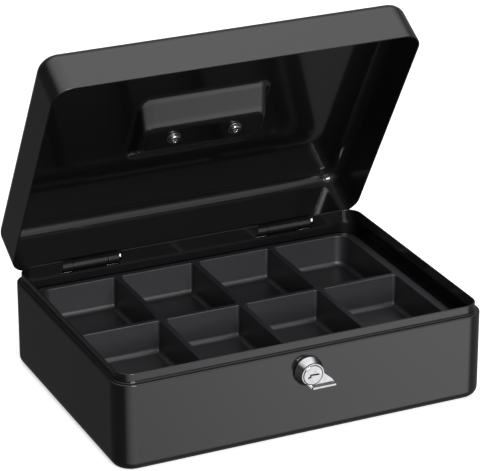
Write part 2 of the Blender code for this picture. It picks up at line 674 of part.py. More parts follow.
def build_tray(plastic):
    """Eight compartments in two rows under one flange."""
    body_x = TRAY_HALF_X + TRAY_WALL
    body_y = (TRAY_Y[0] - TRAY_WALL, TRAY_Y[1] + TRAY_WALL)
    centre_y, half_y = sum(body_y) / 2, (body_y[1] - body_y[0]) / 2
    edge = TRAY_CORNER + TRAY_WALL
    foot = 0.004
    flange_low = TRAY_TOP - TRAY_FLANGE
    profile = arc((foot + TRAY_DRAFT, TRAY_BOTTOM + foot), foot, 270, 180, 4)
    profile += [(0.0, flange_low)]
    rings = [ring(body_x - inset, half_y - inset, edge - inset, z, centre_y=centre_y)
             for inset, z in profile]
    flange_x = TRAY_HALF_X + FLANGE_SIDE
    flange_y = half_y - TRAY_WALL + FLANGE_ENDS
    flange_corner = edge + 0.002
    for inset, z in ((0.0, flange_low), (0.0, TRAY_TOP - RIM_RADIUS), (RIM_RADIUS, TRAY_TOP)):
        rings.append(ring(flange_x - inset, flange_y - inset, flange_corner - inset, z,
                          centre_y=centre_y))
    tray = mesh_object("coin_tray", [lofted(rings)])

    edges = [-TRAY_HALF_X]
    for wall in COLUMN_WALLS:
        edges += [wall - COLUMN_WALL_HALF, wall + COLUMN_WALL_HALF]
    edges.append(TRAY_HALF_X)
    columns = list(zip(edges[0::2], edges[1::2]))
    rows = ((TRAY_Y[0], ROW_WALL[0]), (ROW_WALL[1], TRAY_Y[1]))
    hollows = []
    for number, column in enumerate(columns):
        outer_side = {0: -1, len(columns) - 1: 1}.get(number, 0)
        hollows += [tray_pocket(column, row, outer_side) for row in rows]
    finish(tray, plastic)
    shaped_by(tray, guide("tray_hollows", hollows), "DIFFERENCE")


# ---------------------------------------------------------------- assembly

def clear_scene():
    for old in list(bpy.data.objects):
        bpy.data.objects.remove(old, do_unlink=True)


def main():
    clear_scene()
    paint = material("black_enamel", (0.008, 0.008, 0.009), 0.22)
    plastic = material("black_plastic", (0.015, 0.016, 0.018), 0.35)
    chrome = material("chrome", (0.78, 0.78, 0.79), 0.12, 1.0)
    steel = material("zinc_steel", (0.50, 0.50, 0.51), 0.35, 1.0)

    build_case(paint)
    build_tray_rests(paint)
    build_tray(plastic)

    lid_pivot = empty("lid_pivot", (0.0, HINGE_Y, HINGE_Z))
    lid_pivot.rotation_euler.x = -LID_OPEN
    lid_place = (0.0, -HINGE_Y, -HINGE_Z)
    build_lid(paint, lid_pivot, lid_place)
    build_strike(steel, lid_pivot, lid_place)
    for name, side in hinge_sides():
        build_hinge(name, side, lid_pivot, lid_place, paint, steel)

    build_handle_bracket(steel, lid_pivot, lid_place)
    for name, side in hinge_sides():
        build_rivet(name, side, chrome, lid_pivot, lid_place)
    handle_pivot = empty("handle_pivot", (0.0, PIVOT_Y - HINGE_Y, PIVOT_Z - HINGE_Z), lid_pivot)
    build_bail(chrome, handle_pivot)

    lock_place = (0.0, 0.0, LOCK_Z)
    build_lock_housing(chrome, lock_place)
    build_lock_nut(steel, lock_place)
    build_plug(chrome, lock_place)
    build_lever(chrome, lock_place)
    build_cam(steel, lock_place)


main()
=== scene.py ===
import json
from math import cos, hypot, pi, radians, sin, tan

import bmesh
import bpy
from mathutils import Matrix, Vector


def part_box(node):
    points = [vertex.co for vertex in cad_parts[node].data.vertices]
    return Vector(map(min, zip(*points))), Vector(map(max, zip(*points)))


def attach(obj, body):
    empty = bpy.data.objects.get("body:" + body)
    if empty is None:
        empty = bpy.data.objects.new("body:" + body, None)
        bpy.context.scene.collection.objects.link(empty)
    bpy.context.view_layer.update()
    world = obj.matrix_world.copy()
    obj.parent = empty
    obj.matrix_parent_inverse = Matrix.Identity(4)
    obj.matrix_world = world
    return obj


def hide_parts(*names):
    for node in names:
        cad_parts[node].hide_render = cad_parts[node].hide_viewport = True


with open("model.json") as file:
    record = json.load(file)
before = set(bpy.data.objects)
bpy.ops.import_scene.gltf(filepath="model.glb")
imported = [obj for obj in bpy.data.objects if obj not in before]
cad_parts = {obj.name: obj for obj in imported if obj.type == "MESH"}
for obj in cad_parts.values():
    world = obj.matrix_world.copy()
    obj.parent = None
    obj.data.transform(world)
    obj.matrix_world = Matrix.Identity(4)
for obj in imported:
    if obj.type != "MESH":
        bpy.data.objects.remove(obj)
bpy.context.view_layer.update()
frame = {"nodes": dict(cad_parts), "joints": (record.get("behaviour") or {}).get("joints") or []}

scene = bpy.context.scene
joints = {joint["name"]: joint for joint in frame["joints"]}
print("frame loaded:", len(frame["nodes"]), "nodes")

# Shared measures of the sheet metal, in metres, read from the frame where it holds them
caseLow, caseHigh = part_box("case_shell")
hingeAxis = Vector(joints["lid_hinge"]["pos_m"])
lidAngle = radians(-joints["lid_hinge"]["range_deg"][0])     # how far the lid stands open
lidTurn = (Matrix.Translation(hingeAxis) @ Matrix.Rotation(-lidAngle, 4, "X")
           @ Matrix.Translation(-hingeAxis))
lockZ = joints["lock_turn"]["pos_m"][2]

box = {
    "halfX": caseHigh.x,
    "halfY": caseHigh.y,
    "sheet": 0.001,
    "corner": 0.0133,
    "fit": 0.0003,           # gap between pieces that touch
}
frontY = -box["halfY"]
sides = (("Left", -1), ("Right", 1))


# making shapes

def roundedRing(halfX, halfY, corner, z, centre=(0.0, 0.0), steps=14):
    radii = corner if isinstance(corner, tuple) else (corner,) * 4
    points = []
    for quarter, (radius, (sideX, sideY)) in enumerate(zip(radii, ((1, 1), (-1, 1), (-1, -1), (1, -1)))):
        for step in range(steps + 1):
            angle = (quarter + step / steps) * pi / 2
            points.append((centre[0] + sideX * (halfX - radius) + radius * cos(angle),
                           centre[1] + sideY * (halfY - radius) + radius * sin(angle), z))
    return points


def arcPoints(centre, radius, start, end, steps=8):
    angles = [radians(start + (end - start) * step / steps) for step in range(steps + 1)]
    return [(centre[0] + radius * cos(a), centre[1] + radius * sin(a)) for a in angles]


def foldPoints(start, corner, end, steps=8):
    # a soft bend that leaves and arrives along the lines through corner
    points = []
    for step in range(steps + 1):
        t = step / steps
        points.append(start * (1 - t) ** 2 + corner * 2 * t * (1 - t) + end * t * t)
    return points


def roundedLine(corners, closed=True, steps=6):
    # corners are (a, b, radius)
    count = len(corners)
    points = []
    for index, (a, b, radius) in enumerate(corners):
        if radius == 0 or (not closed and index in (0, count - 1)):
            points.append((a, b))
            continue
        here = Vector((a, b))
        before = (Vector(corners[index - 1][:2]) - here).normalized()
        after = (Vector(corners[(index + 1) % count][:2]) - here).normalized()
        half = before.angle(after) / 2
        centre = here + (before + after).normalized() * (radius / sin(half))
        start = here + before * (radius / tan(half)) - centre
        turn = start.angle_signed(here + after * (radius / tan(half)) - centre)
        for step in range(steps + 1):
            angle = -turn * step / steps
            points.append((centre.x + start.x * cos(angle) - start.y * sin(angle),
                           centre.y + start.x * sin(angle) + start.y * cos(angle)))
    return points


def throughRings(rings, hollow=False):
    # one closed body: capped at both ends, or its last ring joined to its first
    count = len(rings[0])
    points = [point for ring in rings for point in ring]
    spans = len(rings) if hollow else len(rings) - 1
    faces = []
    for level in range(spans):
        low, high = level * count, (level + 1) % len(rings) * count
        for index in range(count):
            following = (index + 1) % count
            faces.append((low + index, low + following, high + following, high + index))
    if not hollow:
        faces.append(tuple(range(count)))
        faces.append(tuple(range(spans * count, (spans + 1) * count)))
    return points, faces


def turnedBody(profile, axis, hollow=False, centre=(0.0, 0.0, 0.0), around=48):
    # profile is (radius, place along the axis)
    order = {"X": (2, 0, 1), "Y": (1, 2, 0), "Z": (0, 1, 2)}[axis]
    rings = []
    for radius, along in profile:
        ring = []
        for step in range(around):
            flat = (radius * cos(2 * pi * step / around), radius * sin(2 * pi * step / around), along)
            ring.append(tuple(flat[order[i]] + centre[i] for i in range(3)))
        rings.append(ring)
    return throughRings(rings, hollow)


def drawnOut(outline, low, high, axis):
    place = {"X": lambda a, b, c: (c, a, b), "Y": lambda a, b, c: (a, c, b),
             "Z": lambda a, b, c: (a, b, c)}[axis]
    return throughRings([[place(a, b, level) for a, b in outline] for level in (low, high)])


def block(x, y, z):
    return drawnOut([(x[0], y[0]), (x[1], y[0]), (x[1], y[1]), (x[0], y[1])], z[0], z[1], "Z")


def newPiece(name, bodies):
    points, faces = [], []
    for bodyPoints, bodyFaces in bodies:
        offset = len(points)
        points += bodyPoints
        faces += [[index + offset for index in face] for face in bodyFaces]
    mesh = bpy.data.meshes.new(name)
    mesh.from_pydata(points, [], faces)
    shape = bmesh.new()
    shape.from_mesh(mesh)
    bmesh.ops.recalc_face_normals(shape, faces=shape.faces)
    shape.to_mesh(mesh)
    shape.free()
    piece = bpy.data.objects.new(name, mesh)
    scene.collection.objects.link(piece)
    return piece


def settled(piece):
    # the piece's modifiers become its plain mesh
    bpy.context.view_layer.update()
    evaluated = piece.evaluated_get(bpy.context.evaluated_depsgraph_get())
    mesh = bpy.data.meshes.new_from_object(evaluated)
    piece.modifiers.clear()
    piece.data = mesh
    mesh.name = piece.name
    return piece


def shapedBy(piece, bodies, operation="DIFFERENCE"):
    tool = newPiece("tool", bodies)
    step = piece.modifiers.new("shape", "BOOLEAN")
    step.operation = operation
    step.solver = "EXACT"
    step.object = tool
    settled(piece)
    bpy.data.objects.remove(tool)
    return piece


def finished(piece, surface, body, nodes=(), edge=0.0, turn=None, sharp=35):
    # break the sharp edges, shade the curves, give the surface and hand the piece to its body
    if turn:
        piece.data.transform(turn)
    if edge:
        bevel = piece.modifiers.new("edge", "BEVEL")
        bevel.width = edge
        bevel.segments = 2
        bevel.limit_method = "ANGLE"
        bevel.angle_limit = radians(45)
        bevel.use_clamp_overlap = True
        settled(piece)
    piece.data.shade_smooth()
    piece.data.set_sharp_from_angle(angle=radians(sharp))
    weighted = piece.modifiers.new("weighted", "WEIGHTED_NORMAL")
    weighted.keep_sharp = True
    settled(piece)
    piece.data.materials.clear()
    piece.data.materials.append(surface)
    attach(piece, body)
    if nodes:
        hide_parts(*nodes)
    return piece


def refined(node, name, surface, body, edge, sharp=35):
    # a small CAD piece with its facets joined and its edges broken
    source = frame["nodes"][node]
    piece = bpy.data.objects.new(name, source.data.copy())
    scene.collection.objects.link(piece)
    shape = bmesh.new()
    shape.from_mesh(piece.data)
    bmesh.ops.remove_doubles(shape, verts=shape.verts, dist=0.000002)
    bmesh.ops.dissolve_limit(shape, angle_limit=radians(1), verts=shape.verts, edges=shape.edges)
    shape.to_mesh(piece.data)
    shape.free()
    return finished(piece, surface, body, (node,), edge, sharp=sharp)


# geometry node trees

def newTree(name, inputs):
    tree = bpy.data.node_groups.new(name, "GeometryNodeTree")
    tree.interface.new_socket("Geometry", in_out="OUTPUT", socket_type="NodeSocketGeometry")
    tree.interface.new_socket("Geometry", in_out="INPUT", socket_type="NodeSocketGeometry")
    for label, kind in inputs:
        tree.interface.new_socket(label, in_out="INPUT", socket_type=kind)
    return tree, tree.nodes.new("NodeGroupInput"), tree.nodes.new("NodeGroupOutput")


def endTree(tree, given, made, output):
    # every tree ends with real geometry that carries its material
    realize = tree.nodes.new("GeometryNodeRealizeInstances")
    paint = tree.nodes.new("GeometryNodeSetMaterial")
    tree.links.new(made, realize.inputs["Geometry"])
    tree.links.new(realize.outputs["Geometry"], paint.inputs["Geometry"])
    tree.links.new(given.outputs["Material"], paint.inputs["Material"])
    tree.links.new(paint.outputs["Geometry"], output.inputs["Geometry"])
    return tree


def rowOfCopies():
    # copies of the incoming piece in a straight row
    tree, given, output = newTree("rowOfCopies", (
        ("Count", "NodeSocketInt"), ("First", "NodeSocketVector"), ("Step", "NodeSocketVector"),
        ("Material", "NodeSocketMaterial")))
    row = tree.nodes.new("GeometryNodeMeshLine")
    copies = tree.nodes.new("GeometryNodeInstanceOnPoints")
    tree.links.new(given.outputs["Count"], row.inputs["Count"])
    tree.links.new(given.outputs["First"], row.inputs["Start Location"])
    tree.links.new(given.outputs["Step"], row.inputs["Offset"])
    tree.links.new(row.outputs["Mesh"], copies.inputs["Points"])
    tree.links.new(given.outputs["Geometry"], copies.inputs["Instance"])
    return endTree(tree, given, copies.outputs["Instances"], output)


def bentWire():
    # a round wire along the incoming line of edges, closed at its ends
    tree, given, output = newTree("bentWire", (
        ("Radius", "NodeSocketFloat"), ("Around", "NodeSocketInt"), ("Material", "NodeSocketMaterial")))
    line = tree.nodes.new("GeometryNodeMeshToCurve")
    circle = tree.nodes.new("GeometryNodeCurvePrimitiveCircle")
    wire = tree.nodes.new("GeometryNodeCurveToMesh")
    wire.inputs["Fill Caps"].default_value = True
    tree.links.new(given.outputs["Geometry"], line.inputs["Mesh"])
    tree.links.new(given.outputs["Radius"], circle.inputs["Radius"])
    tree.links.new(given.outputs["Around"], circle.inputs["Resolution"])
    tree.links.new(line.outputs["Curve"], wire.inputs["Curve"])
    tree.links.new(circle.outputs["Curve"], wire.inputs["Profile Curve"])
    return endTree(tree, given, wire.outputs["Mesh"], output)


def throughTree(piece, tree, values):
    step = piece.modifiers.new(tree.name, "NODES")
    step.node_group = tree
    sockets = {item.name: item.identifier for item in tree.interface.items_tree
               if item.item_type == "SOCKET" and item.in_out == "INPUT"}
    for label, value in values.items():
        step[sockets[label]] = value
    return settled(piece)


rowTree = rowOfCopies()
wireTree = bentWire()
print("geometry trees ready")


# shader groups

def newShaderGroup(name, inputs, outputs):
    group = bpy.data.node_groups.new(name, "ShaderNodeTree")
    for label, value in inputs:
        socket = group.interface.new_socket(label, in_out="INPUT", socket_type="NodeSocketFloat")
        socket.default_value = value
    for label, kind in outputs:
        group.interface.new_socket(label, in_out="OUTPUT", socket_type=kind)
    return group, group.nodes.new("NodeGroupInput"), group.nodes.new("NodeGroupOutput")


def noiseIn(tree, where, detail, roughness=0.5):
    noise = tree.nodes.new("ShaderNodeTexNoise")
    noise.inputs["Detail"].default_value = detail
    noise.inputs["Roughness"].default_value = roughness
    tree.links.new(where, noise.inputs["Vector"])
    return noise


def mathIn(tree, operation, first, second):
    node = tree.nodes.new("ShaderNodeMath")
    node.operation = operation
    for socket, value in zip(node.inputs, (first, second)):
        if isinstance(value, (int, float)):
            socket.default_value = value
        else:
            tree.links.new(value, socket)
    return node.outputs[0]


def rangeIn(tree, value, lowIn, highIn, lowOut, highOut):
    node = tree.nodes.new("ShaderNodeMapRange")
    node.clamp = True
    for label, given in (("Value", value), ("From Min", lowIn), ("From Max", highIn),
                         ("To Min", lowOut), ("To Max", highOut)):
        if isinstance(given, (int, float)):
            node.inputs[label].default_value = given
        else:
            tree.links.new(given, node.inputs[label])
    return node.outputs["Result"]


def orangePeelGroup():
    # the faint ripple and grain of a sprayed or moulded skin, as a normal
    group, given, output = newShaderGroup("orangePeel", (
        ("Ripple Scale", 260.0), ("Ripple", 0.02), ("Grain Scale", 2600.0), ("Grain", 0.02)),
        (("Normal", "NodeSocketVector"),))
    place = group.nodes.new("ShaderNodeTexCoord").outputs["Object"]
    ripple = noiseIn(group, place, 1.0)
    grain = noiseIn(group, place, 2.0)
    group.links.new(given.outputs["Ripple Scale"], ripple.inputs["Scale"])
    group.links.new(given.outputs["Grain Scale"], grain.inputs["Scale"])
    coarse = group.nodes.new("ShaderNodeBump")
    fine = group.nodes.new("ShaderNodeBump")
    coarse.inputs["Distance"].default_value = 0.0004
    fine.inputs["Distance"].default_value = 0.0001
    group.links.new(given.outputs["Ripple"], coarse.inputs["Strength"])
    group.links.new(given.outputs["Grain"], fine.inputs["Strength"])
    group.links.new(ripple.outputs["Fac"], coarse.inputs["Height"])
    group.links.new(grain.outputs["Fac"], fine.inputs["Height"])
    group.links.new(coarse.outputs["Normal"], fine.inputs["Normal"])
    group.links.new(fine.outputs["Normal"], output.inputs["Normal"])
    return group


def handlingGroup():
    # wiped and touched areas: a soft mask that moves the roughness a little, and lint specks
    group, given, output = newShaderGroup("handling", (
        ("Roughness", 0.3), ("Spread", 0.04), ("Specks", 0.5)),
        (("Roughness", "NodeSocketFloat"), ("Specks", "NodeSocketFloat")))
    place = group.nodes.new("ShaderNodeTexCoord").outputs["Object"]
    wiped = noiseIn(group, place, 3.0, 0.6)
    wiped.inputs["Scale"].default_value = 18.0
    wiped.inputs["Distortion"].default_value = 0.6
    centred = mathIn(group, "SUBTRACT", wiped.outputs["Fac"], 0.5)
    swing = mathIn(group, "MULTIPLY", centred, given.outputs["Spread"])
    level = mathIn(group, "MULTIPLY_ADD", swing, 2.0)
    group.links.new(given.outputs["Roughness"], level.node.inputs[2])
    group.links.new(level, output.inputs["Roughness"])
    cells = group.nodes.new("ShaderNodeTexVoronoi")
    cells.inputs["Scale"].default_value = 140.0
    group.links.new(place, cells.inputs["Vector"])
    dots = rangeIn(group, cells.outputs["Distance"], 0.0, 0.035, 1.0, 0.0)
    group.links.new(mathIn(group, "MULTIPLY", dots, given.outputs["Specks"]), output.inputs["Specks"])
    return group


def metalGrainGroup():
    # fine drawn lines and blotches of plated metal
    group, given, output = newShaderGroup("metalGrain", (
        ("Roughness", 0.2), ("Spread", 0.08), ("Lines", 0.05)),
        (("Roughness", "NodeSocketFloat"), ("Normal", "NodeSocketVector"), ("Tone", "NodeSocketFloat")))
    place = group.nodes.new("ShaderNodeTexCoord").outputs["Object"]
    stretch = group.nodes.new("ShaderNodeMapping")
    stretch.inputs["Scale"].default_value = (60.0, 2200.0, 2200.0)
    group.links.new(place, stretch.inputs["Vector"])
    lines = noiseIn(group, stretch.outputs["Vector"], 2.0)
    lines.inputs["Scale"].default_value = 1.0
    cloud = noiseIn(group, place, 4.0, 0.65)
    cloud.inputs["Scale"].default_value = 320.0
    bump = group.nodes.new("ShaderNodeBump")
    bump.inputs["Distance"].default_value = 0.0001
    group.links.new(given.outputs["Lines"], bump.inputs["Strength"])
    group.links.new(lines.outputs["Fac"], bump.inputs["Height"])
    group.links.new(bump.outputs["Normal"], output.inputs["Normal"])
    swing = mathIn(group, "MULTIPLY", mathIn(group, "SUBTRACT", cloud.outputs["Fac"], 0.5),
                   given.outputs["Spread"])
    level = mathIn(group, "MULTIPLY_ADD", swing, 2.0)
    group.links.new(given.outputs["Roughness"], level.node.inputs[2])
    group.links.new(level, output.inputs["Roughness"])
    group.links.new(rangeIn(group, cloud.outputs["Fac"], 0.3, 0.7, 0.0, 1.0), output.inputs["Tone"])
    return group


peel = orangePeelGroup()
handling = handlingGroup()
metalGrain = metalGrainGroup()


def placedGroup(tree, group, values):
    node = tree.nodes.new("ShaderNodeGroup")
    node.node_tree = group
    for label, value in values.items():
        node.inputs[label].default_value = value
    return node


def mixedColour(tree, mask, first, second):
    mix = tree.nodes.new("ShaderNodeMix")
    mix.data_type = "RGBA"
    mix.inputs["A"].default_value = (*first, 1.0)
    mix.inputs["B"].default_value = (*second, 1.0)
    tree.links.new(mask, mix.inputs["Factor"])
    return mix.outputs["Result"]


def darkSkin(name, look):
    # black enamel and black plastic share this build
    surface = bpy.data.materials.new(name)
    surface.use_nodes = True
    tree = surface.node_tree
    shader = tree.nodes["Principled BSDF"]
    touched = placedGroup(tree, handling, {"Roughness": look["roughness"], "Spread": look["spread"],
                                           "Specks": look["specks"]})
    skin = placedGroup(tree, peel, look["skin"])
    tree.links.new(touched.outputs["Roughness"], shader.inputs["Roughness"])
    tree.links.new(skin.outputs["Normal"], shader.inputs["Normal"])
    tree.links.new(mixedColour(tree, touched.outputs["Specks"], look["colour"], look["lint"]),
                   shader.inputs["Base Color"])
    shader.inputs["Specular IOR Level"].default_value = look["specular"]
    shader.inputs["Coat Weight"].default_value = look.get("coat", 0.0)
    shader.inputs["Coat Roughness"].default_value = look.get("coatRoughness", 0.05)
    return surface


def platedMetal(name, look):
    surface = bpy.data.materials.new(name)
    surface.use_nodes = True
    tree = surface.node_tree
    shader = tree.nodes["Principled BSDF"]
    grain = placedGroup(tree, metalGrain, {"Roughness": look["roughness"], "Spread": look["spread"],
                                           "Lines": look["lines"]})
    shader.inputs["Metallic"].default_value = 1.0
    tree.links.new(grain.outputs["Roughness"], shader.inputs["Roughness"])
    tree.links.new(grain.outputs["Normal"], shader.inputs["Normal"])
    tree.links.new(mixedColour(tree, grain.outputs["Tone"], look["dark"], look["light"]),
                   shader.inputs["Base Color"])
    return surface


enamelLook = {
    "colour": (0.0006, 0.0006, 0.0006), "lint": (0.02, 0.02, 0.02),
    "roughness": 0.50, "spread": 0.04, "specks": 0.15, "specular": 0.22,
    "coat": 1.0, "coatRoughness": 0.09,
    "skin": {"Ripple Scale": 220.0, "Ripple": 0.04, "Grain Scale": 2600.0, "Grain": 0.05},
}
plasticLook = {
    "colour": (0.0065, 0.0064, 0.0088), "lint": (0.03, 0.03, 0.03),
    "roughness": 0.48, "spread": 0.05, "specks": 0.2, "specular": 0.9,
    "skin": {"Ripple Scale": 160.0, "Ripple": 0.05, "Grain Scale": 3200.0, "Grain": 0.12},
}
chromeLook = {"roughness": 0.12, "spread": 0.05, "lines": 0.02,
              "dark": (0.40, 0.40, 0.41), "light": (0.54, 0.54, 0.55)}
zincLook = {"roughness": 0.32, "spread": 0.12, "lines": 0.10,
            "dark": (0.38, 0.38, 0.40), "light": (0.55, 0.55, 0.56)}
enamel = darkSkin("blackEnamel", enamelLook)
plastic = darkSkin("blackPlastic", plasticLook)
chrome = platedMetal("brightPlate", chromeLook)
zinc = platedMetal("zincPlate", zincLook)
print("materials ready")


# case

case = {
    "bottomRadius": 0.0062, "shoulderZ": 0.058, "shoulderRadius": 0.0007,
    "collarInset": 0.00304, "collarFillet": 0.0005, "collarEdge": 0.0004,
    "hingeX": 0.070, "hingeHalf": 0.020, "notchSide": 0.0004, "notchLow": 0.05325,
    "lockHole": 0.0079,
}
case["collarTop"] = caseHigh.z


def outlineRings(profile, base=0.0):
    return [roundedRing(box["halfX"] - inset, box["halfY"] - inset, box["corner"] - inset, base + z)
            for inset, z in profile]


def buildCase():
    sheet, inner = box["sheet"], case["collarInset"] + box["sheet"]
    bottom = (case["bottomRadius"], case["bottomRadius"])
    shoulder, round_ = case["shoulderZ"], case["shoulderRadius"]
    rim = case["collarTop"] - case["collarEdge"]
    profile = arcPoints(bottom, case["bottomRadius"], 270, 180)
    profile += arcPoints((round_, shoulder - round_), round_, 180, 90, 5)
    profile += arcPoints((case["collarInset"] - case["collarFillet"], shoulder + case["collarFillet"]),
                         case["collarFillet"], 270, 360, 4)
    profile += arcPoints((case["collarInset"] + case["collarEdge"], rim), case["collarEdge"], 180, 90, 4)
    profile += arcPoints((inner - case["collarEdge"], rim), case["collarEdge"], 90, 0, 4)
    profile += [(inner, shoulder - sheet), (sheet, shoulder - sheet)]
    profile += arcPoints(bottom, case["bottomRadius"] - sheet, 180, 270)
    shell = newPiece("caseBody", [throughRings(outlineRings(profile))])
    cuts = []
    for _, side in sides:
        reach = case["hingeHalf"] + case["notchSide"]
        ends = sorted((side * (case["hingeX"] - reach), side * (case["hingeX"] + reach)))
        cuts.append(block(ends, (box["halfY"] - 0.005, box["halfY"] + 0.001),
                          (case["notchLow"], case["collarTop"] + 0.001)))
    cuts.append(turnedBody([(case["lockHole"], frontY - 0.001), (case["lockHole"], frontY + 0.002)],
                           "Y", centre=(0.0, 0.0, lockZ)))
    shapedBy(shell, cuts)
    finished(shell, enamel, "case", ("case_shell",))


buildCase()
for sideName, _ in sides:
    refined("tray_rest_" + sideName.lower(), "trayRest" + sideName, enamel, "case", 0.0002)
print("case ready")


# lid, made shut and then turned open about the hinge

lid = {
    "edgeZ": 0.0583, "height": 0.0324, "radius": 0.009, "rimEdge": 0.0003,
    "pocketY": 0.001,
    "mouth": (0.044, 0.0292, 0.0072, 0.0324), "floor": (0.042, 0.0102, 0.0052, 0.0204),
    "bumpFoot": (0.045, 0.0295, 0.0080, 0.0314), "bumpTop": (0.043, 0.0105, 0.0060, 0.0194),
    "mouthFold": 0.0028, "floorFold": 0.0028, "mouthShare": 0.22, "floorShare": 0.28,
    "notchTop": 0.0615, "slitRun": 0.0032, "slitRise": 0.00425, "slitWide": 0.0006,
    "rivetX": 0.0214, "rivetY": -0.0005, "rivetHole": 0.0027,
}


def pocketRings(mouth, floor):
    mouth, floor = Vector(mouth), Vector(floor)
    slope = floor - mouth
    wide = mouth + Vector((lid["mouthFold"],) * 3 + (0.0,))
    narrow = floor - Vector((lid["floorFold"],) * 3 + (0.0,))
    stations = foldPoints(wide, mouth, mouth + slope * lid["mouthShare"])
    stations += foldPoints(floor - slope * lid["floorShare"], floor, narrow)
    return [roundedRing(halfX, halfY, corner, lid["edgeZ"] + z, (0.0, lid["pocketY"]))
            for halfX, halfY, corner, z in stations]


def lidNotch(side):
    near = side * case["hingeX"] - case["hingeHalf"] - case["notchSide"]
    far = near + 2 * (case["hingeHalf"] + case["notchSide"])
    low, top, wide = lid["edgeZ"] - 0.001, lid["notchTop"], lid["slitWide"]
    slitTop = lid["edgeZ"] + lid["slitRise"]
    return [(near, low), (far, low), (far, top), (near + wide, top),
            (near - lid["slitRun"] + wide, slitTop), (near - lid["slitRun"], slitTop), (near, top - wide)]


def buildLid():
    sheet, shoulder, edge = box["sheet"], lid["height"] - lid["radius"], lid["rimEdge"]
    inner = arcPoints((sheet - edge, edge), edge, 270, 360, 3)
    inner += arcPoints((lid["radius"], shoulder), lid["radius"] - sheet, 180, 90, 12)
    outer = arcPoints((edge, edge), edge, 270, 180, 3)
    outer += arcPoints((lid["radius"], shoulder), lid["radius"], 180, 90, 12)
    rings = pocketRings(lid["bumpFoot"], lid["bumpTop"])[::-1]
    rings += outlineRings(inner[::-1], lid["edgeZ"]) + outlineRings(outer, lid["edgeZ"])
    rings += pocketRings(lid["mouth"], lid["floor"])
    shell = newPiece("lidBody", [throughRings(rings)])
    cuts = [drawnOut(lidNotch(side), box["halfY"] - 0.002, box["halfY"] + 0.001, "Y")
            for _, side in sides]
    floorZ = lid["edgeZ"] + lid["floor"][3]
    for _, side in sides:
        cuts.append(turnedBody([(lid["rivetHole"], floorZ - 0.002), (lid["rivetHole"], floorZ + 0.001)],
                               "Z", centre=(side * lid["rivetX"], lid["rivetY"], 0.0)))
    shapedBy(shell, cuts)
    finished(shell, enamel, "lid", ("lid_shell",), turn=lidTurn)


buildLid()
refined("lid_strike", "lidStrike", zinc, "lid", 0.0002)
print("lid ready")


# hinges

hinge = {
    "barrel": 0.0039, "bore": 0.0024, "knuckleHalf": 0.012, "seam": 0.00015,
    "leafThick": 0.001, "leafLow": 0.040, "leafHigh": 0.072, "leafCorner": 0.003,
    "broken": 0.0003, "clear": 0.00035,
    "earOut": 0.0016, "earIn": 0.0002, "caseEar": 0.0575, "lidEar": 0.0585,
}


def knuckle(low, high):
    broken, radius = hinge["broken"], hinge["barrel"]
    profile = [(hinge["bore"], low)]
    profile += arcPoints((radius - broken, low + broken), broken, 270, 360, 3)
    profile += arcPoints((radius - broken, high - broken), broken, 0, 90, 3)
    profile += [(hinge["bore"], high)]
    return turnedBody(profile, "X", hollow=True, centre=(0.0, hingeAxis.y, hingeAxis.z), around=56)


def buildHinge(sideName, side):
    centre = side * case["hingeX"]
    near, far = centre - case["hingeHalf"], centre + case["hingeHalf"]
    low, high = centre - hinge["knuckleHalf"], centre + hinge["knuckleHalf"]
    leafY = box["halfY"] + box["fit"]
    seat = 0.5 * (hinge["barrel"] + hinge["bore"])
    top = hingeAxis.z - hinge["barrel"] - hinge["clear"]
    corner = hinge["leafCorner"]
    left, right, ear = near - hinge["earOut"], far + hinge["earOut"], hinge["earIn"]
    outline = roundedLine([(left, hinge["leafLow"], corner), (right, hinge["leafLow"], corner),
                           (right, hinge["caseEar"], 0), (far + ear, hinge["caseEar"], 0),
                           (far + ear, top, 0), (high, top, 0), (high, hingeAxis.z - seat, 0),
                           (low, hingeAxis.z - seat, 0), (low, top, 0), (near - ear, top, 0),
                           (near - ear, hinge["caseEar"], 0), (left, hinge["caseEar"], 0)])
    leaf = newPiece("hingeCase" + sideName, [drawnOut(outline, leafY, leafY + hinge["leafThick"], "Y")])
    shapedBy(leaf, [knuckle(low, high)], "UNION")
    node = sideName.lower()
    finished(leaf, enamel, "case", ("hinge_case_" + node,))

    inner, outer = low - hinge["seam"], high + hinge["seam"]
    outline = roundedLine([(left, hinge["lidEar"], 0), (near - ear, hinge["lidEar"], 0),
                           (near - ear, hingeAxis.z + seat, 0), (inner, hingeAxis.z + seat, 0),
                           (inner, lid["notchTop"], 0), (outer, lid["notchTop"], 0),
                           (outer, hingeAxis.z + seat, 0), (far + ear, hingeAxis.z + seat, 0),
                           (far + ear, hinge["lidEar"], 0), (right, hinge["lidEar"], 0),
                           (right, hinge["leafHigh"], corner), (left, hinge["leafHigh"], corner)])
    leaf = newPiece("hingeLid" + sideName, [drawnOut(outline, leafY, leafY + hinge["leafThick"], "Y")])
    ends = newPiece("ends", [knuckle(near, inner)])
    throughTree(ends, rowTree, {"Count": 2, "First": (0.0, 0.0, 0.0),
                                "Step": (outer - near, 0.0, 0.0), "Material": enamel})
    join = leaf.modifiers.new("knuckles", "BOOLEAN")
    join.operation = "UNION"
    join.solver = "EXACT"
    join.object = ends
    settled(leaf)
    bpy.data.objects.remove(ends)
    finished(leaf, enamel, "lid", ("hinge_lid_" + node,), turn=lidTurn)
    refined("hinge_pin_" + node, "hingePin" + sideName, enamel, "case", 0.0003)


for sideName, side in sides:
    buildHinge(sideName, side)
print("hinges ready")


# handle on the lid

handle = {
    "pivot": (0.0085, 0.0828), "wire": 0.002, "half": 0.034, "end": 0.014,
    "reachY": -0.0285, "reachZ": 0.0057, "endBend": 0.0035, "gripBend": 0.009, "around": 24,
}
rivet = {
    "flareTop": 0.0763, "flareThick": 0.0018, "flare": 0.0039, "hollow": 0.0015, "lip": 0.0006,
    "shank": 0.0024, "headLow": 0.0805, "head": 0.0042, "headThick": 0.0013,
}


